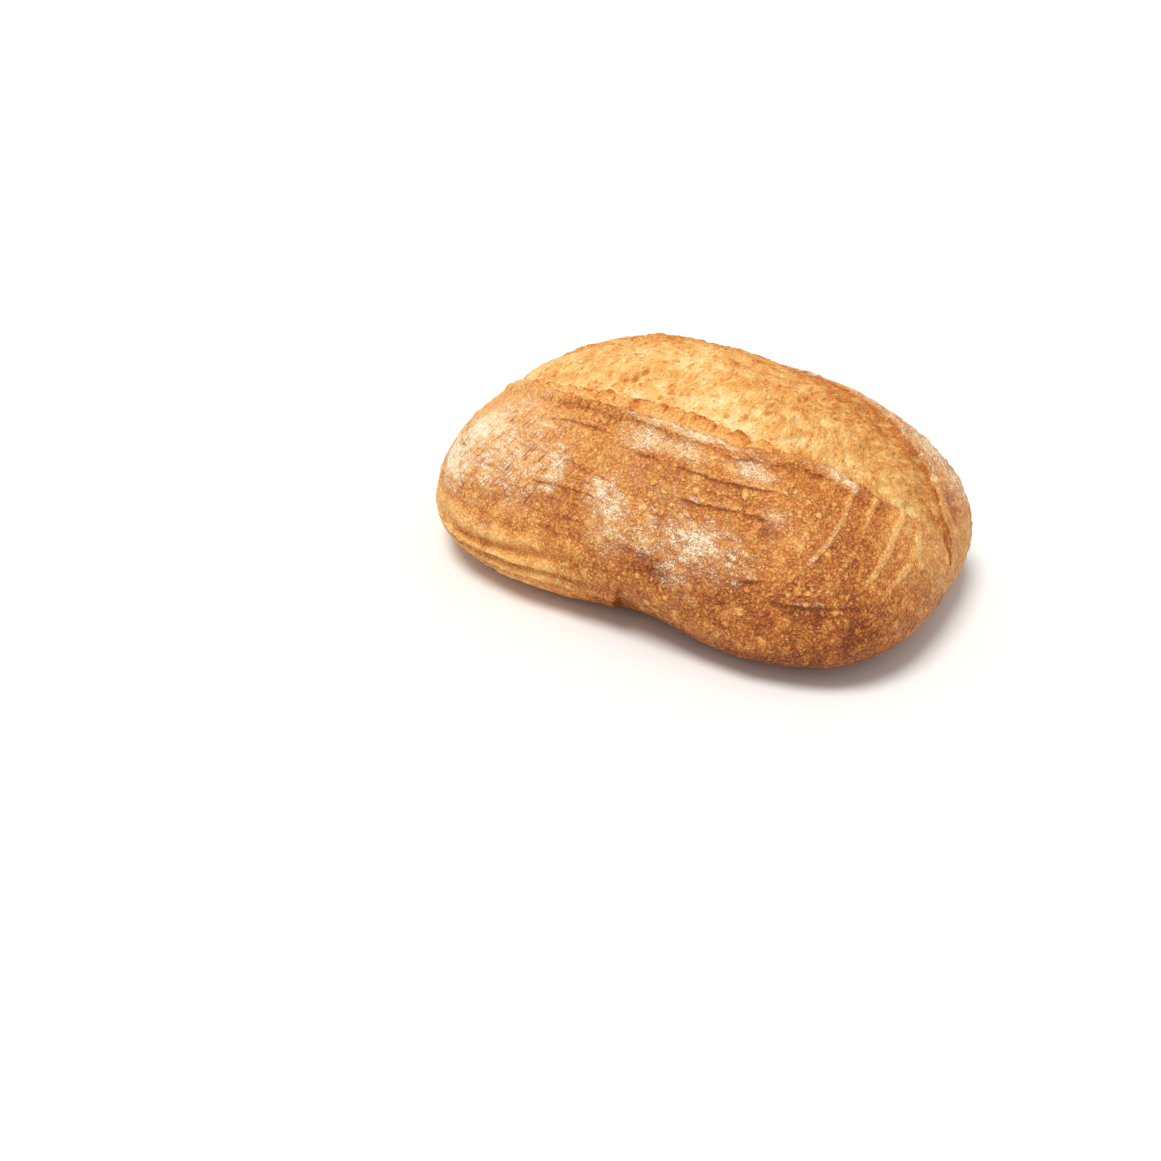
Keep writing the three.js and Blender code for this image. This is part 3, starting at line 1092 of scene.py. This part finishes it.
def crumbNodes(n, grains):
    # threads pulled across the slash in soft tufts, with small torn pores, pits and hollows, the
    # pores and pits painted darker with the shade that falls in them; gives the torn strip's browner
    # color too
    look = crumbPatterns
    size, wideShade, wideHeight = look["wide"]
    wide = n.noise(n.onSkin(*size, look["wideTurn"]), 1.0, 3.0, 0.6, 1.6)
    size, threadShade, threadHeight = look["threads"]
    threads = n.blisters(n.shaken(n.onSkin(*size, look["turn"]), 0.45, 2.0), 1.0, 0.75)
    size, tuftShade, tuftHeight = look["tufts"]
    tufts = n.noise(n.onSkin(*size, look["turn"]), 1.0, 2.0, 0.6)
    size, poreShade, poreHeight = look["pores"]
    pores = n.blisters(n.shaken(n.onSkin(*size, look["turn"]), 0.8, 0.8), 1.0, 0.26)

    toast = n.add(n.mask("toast"), n.about(wide, wideShade))
    toast = n.add(toast, n.about(threads, threadShade, 0.25))
    toast = n.add(toast, n.about(tufts, tuftShade))
    toast = n.add(toast, n.about(grains["mottle"], look["mottleShade"]))
    toast = n.add(toast, n.about(grains["fine"], look["fineShade"]))
    # painted shade: the pores are toasted darker
    toast = n.add(toast, n.times(pores, poreShade), True)
    color = n.ramp(toast, finish["crumb"])
    # painted shade in the pores
    color = n.mix(n.times(pores, look["poreShadeStrength"]), color, finish["shadedPit"])
    color = n.mix(n.times(n.mask("bowl"), look["bowlStrength"]), color, finish["bowl"])
    # painted shade in the pits
    color = n.mix(n.times(n.mask("shadedPit"), look["pitShadeStrength"]), color, finish["shadedPit"])

    torn = n.add(n.mask("tip"), n.about(wide, 1.0, 0.22))
    torn = n.add(torn, n.about(grains["fine"], 1.2))
    torn = n.add(torn, n.about(grains["mottle"], 0.9), True)
    stripColor = n.ramp(torn, finish["strip"])

    height = n.add(n.about(wide, wideHeight), n.times(pores, poreHeight))
    height = n.add(height, n.times(threads, threadHeight))
    height = n.add(height, n.about(tufts, tuftHeight))
    height = n.add(height, n.about(grains["fine"], look["fineHeight"]))
    return color, stripColor, height


def makeBakedBread():
    # one material: crust, crumb and torn strip, parted by ragged lines
    material = bpy.data.materials.new("bakedBread")
    material.use_nodes = True
    n = Nodes(material)
    place = n.tree.nodes.new("ShaderNodeTexCoord").outputs["Object"]
    grains = {
        "mottle": n.noise(place, 120.0, 4.0, 0.6),
        "fine": n.noise(place, 800.0, 3.0, 0.7),
        "dots": n.noise(place, 1700.0, 1.0, 0.5),
    }
    ragged = n.about(grains["fine"], 2.2)
    crumbPart = n.between(n.add(n.mask("out"), ragged), 0.25, -0.25)
    stripPart = n.between(n.add(n.mask("stripIn"), ragged), -0.1, 0.35)
    crustColor, crustHeight, specks = crustNodes(n, place, grains)
    crumbColor, stripColor, crumbHeight = crumbNodes(n, grains)
    color = n.mix(stripPart, n.mix(crumbPart, crustColor, crumbColor), stripColor)
    onCrumb = n.maths("MAXIMUM", crumbPart, stripPart)
    rough = n.times(onCrumb, finish["crumbRoughness"] - finish["crustRoughness"])
    rough = n.add(rough, n.times(specks, finish["flourRoughness"]))
    rough = n.add(rough, finish["crustRoughness"], True)
    height = n.add(n.times(crumbHeight, onCrumb), n.times(crustHeight, n.without(onCrumb)))

    bump = n.tree.nodes.new("ShaderNodeBump")
    bump.inputs["Strength"].default_value = 1.0
    bump.inputs["Distance"].default_value = mm
    n.tree.links.new(height, bump.inputs["Height"])
    shader = n.tree.nodes.new("ShaderNodeBsdfPrincipled")
    shader.inputs["Specular IOR Level"].default_value = finish["shine"]
    n.tree.links.new(color, shader.inputs["Base Color"])
    n.tree.links.new(rough, shader.inputs["Roughness"])
    n.tree.links.new(bump.outputs["Normal"], shader.inputs["Normal"])
    output = n.tree.nodes.new("ShaderNodeOutputMaterial")
    n.tree.links.new(shader.outputs[0], output.inputs["Surface"])
    return material


studio = {
    "azimuth": 30.54,      # the camera's direction, 0 looks along +Y
    "elevation": 30.65,
    "roll": 2.4,
    "distance": 684.3,     # from the camera to the point on the floor that it looks at
    "aim": (-33.4, -53.2),  # that point, in millimetres
    "lens": 44.47,
    "floor": (236, 236, 234),
    "floorReach": 8.0,     # metres from its middle to each side
    "world": 0.60,
    "sunStrength": 2.45,
    "sunSoftness": 26,     # degrees across
    "sunFrom": (-0.13, -0.30, 1.0),
    "sunColor": (1.0, 0.985, 0.96),
}


def makeCamera():
    # it stands off from its aim by the distance, round by the azimuth, up by the elevation,
    # and is then rolled about the line that it looks along
    camera = bpy.data.objects.new("camera", bpy.data.cameras.new("camera"))
    bpy.context.scene.collection.objects.link(camera)
    a = math.radians(studio["azimuth"])
    e = math.radians(studio["elevation"])
    back = Vector((math.sin(a) * math.cos(e), -math.cos(a) * math.cos(e), math.sin(e)))
    aim = Vector((studio["aim"][0] * mm, studio["aim"][1] * mm, 0.0))
    right = Vector((math.cos(a), math.sin(a), 0.0))
    up = back.cross(right)
    roll = Matrix.Rotation(math.radians(studio["roll"]), 3, "Z")
    turned = Matrix((right, up, back)).transposed() @ roll
    camera.matrix_world = Matrix.Translation(aim + back * studio["distance"] * mm) @ turned.to_4x4()
    camera.data.sensor_width = 36
    camera.data.lens = studio["lens"]
    camera.data.clip_start = 0.01
    bpy.context.scene.camera = camera


def makeFloor():
    mesh = bpy.data.meshes.new("floor")
    reach = studio["floorReach"]
    mesh.from_pydata([(-reach, -reach, 0), (reach, -reach, 0), (reach, reach, 0), (-reach, reach, 0)],
                     [], [(0, 1, 2, 3)])
    floor = bpy.data.objects.new("floor", mesh)
    bpy.context.scene.collection.objects.link(floor)
    material = bpy.data.materials.new("paleFloor")
    material.use_nodes = True
    shader = material.node_tree.nodes["Principled BSDF"]
    shader.inputs["Base Color"].default_value = linear(studio["floor"])
    shader.inputs["Roughness"].default_value = 0.7
    mesh.materials.append(material)


def makeSun():
    light = bpy.data.lights.new("softSun", "SUN")
    light.energy = studio["sunStrength"]
    light.angle = math.radians(studio["sunSoftness"])
    light.color = studio["sunColor"]
    lamp = bpy.data.objects.new("softSun", light)
    bpy.context.scene.collection.objects.link(lamp)
    lamp.matrix_world = Vector(studio["sunFrom"]).to_track_quat("Z", "Y").to_matrix().to_4x4()


def makeStudio():
    makeCamera()
    makeFloor()
    makeSun()
    world = bpy.data.worlds.new("studio")
    world.use_nodes = True
    background = world.node_tree.nodes["Background"]
    background.inputs["Color"].default_value = (1.0, 1.0, 1.0, 1.0)
    background.inputs["Strength"].default_value = studio["world"]
    bpy.context.scene.world = world
    bpy.context.scene.view_settings.view_transform = "Standard"
    print("studio ready")


makeStudio()
loafPiece = buildMesh("sourdoughLoaf", *makeLoaf())
loafPiece.data.materials.append(makeBakedBread())
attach(loafPiece, "root")
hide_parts("loaf")
print("loaf made,", sum(len(p.vertices) - 2 for p in loafPiece.data.polygons), "triangles")
